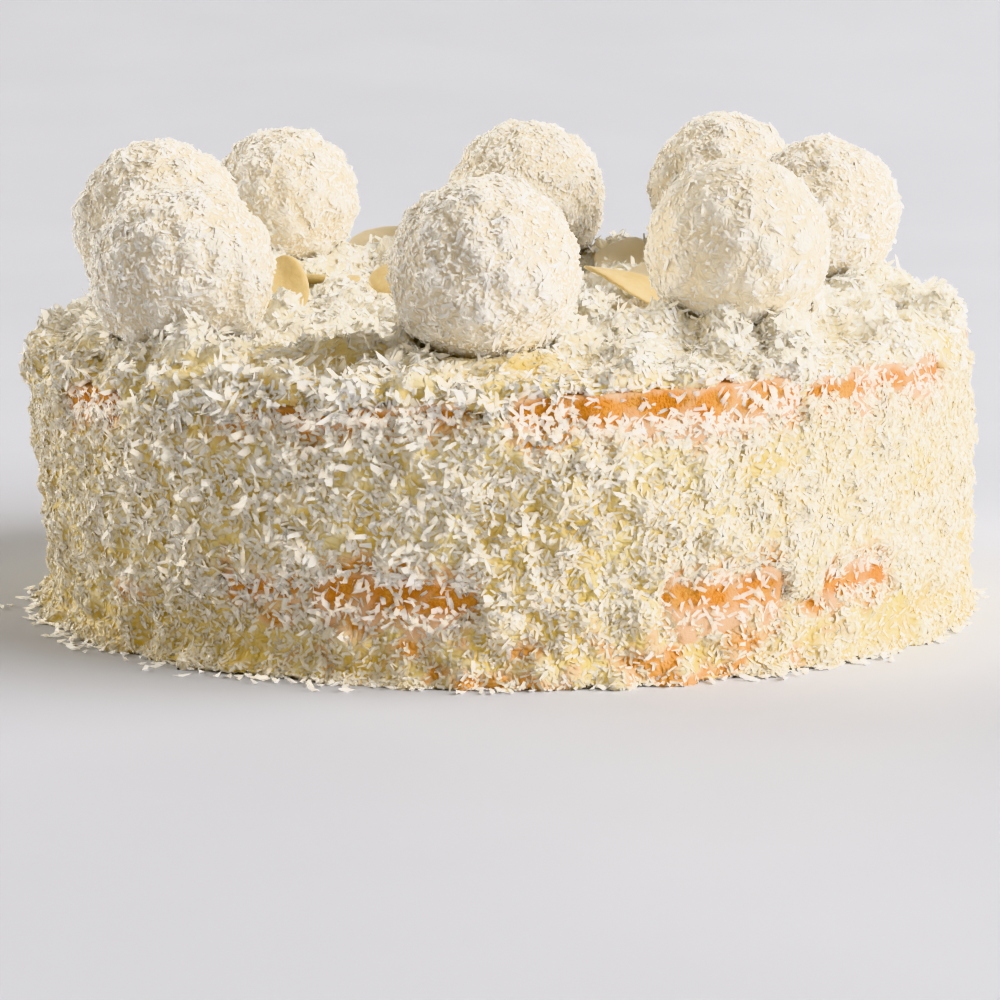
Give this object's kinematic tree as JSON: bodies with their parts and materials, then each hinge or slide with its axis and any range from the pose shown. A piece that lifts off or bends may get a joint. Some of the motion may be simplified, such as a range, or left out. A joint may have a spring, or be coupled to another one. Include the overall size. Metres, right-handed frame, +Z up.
{
  "type": "coconut cake",
  "caption": "Round layer cake of sponge and cream, coated with shredded coconut, with a ring of coconut pralines and scattered almond flakes on top.",
  "frame": {"origin": "middle of the cake's flat base, on the surface it stands on", "axes": "+Z up, the front of the cake faces -Y, +X is to the right of someone who looks at the front"},
  "size_m": [0.1625, 0.1631, 0.0806],
  "materials": {
    "sponge": "baked sponge, browned and porous at the side",
    "coconut_cream": "pale yellow cream under white shredded coconut",
    "praline": "ball rolled in fine shredded coconut",
    "almond": "smooth blanched almond flake"
  },
  "bodies": {
    "root": {"sponge_lower": "sponge", "cream_foot": "coconut_cream", "cream_filling": "coconut_cream", "sponge_upper": "sponge", "cream_top": "coconut_cream", "praline_front": "praline", "praline_front_right": "praline", "praline_right": "praline", "praline_back_right": "praline", "praline_back": "praline", "praline_back_left": "praline", "praline_left": "praline", "praline_front_left": "praline", "almond_1": "almond", "almond_2": "almond", "almond_3": "almond", "almond_4": "almond", "almond_5": "almond", "almond_6": "almond", "almond_7": "almond", "almond_8": "almond", "almond_9": "almond", "almond_10": "almond"}
  },
  "joints": []
}
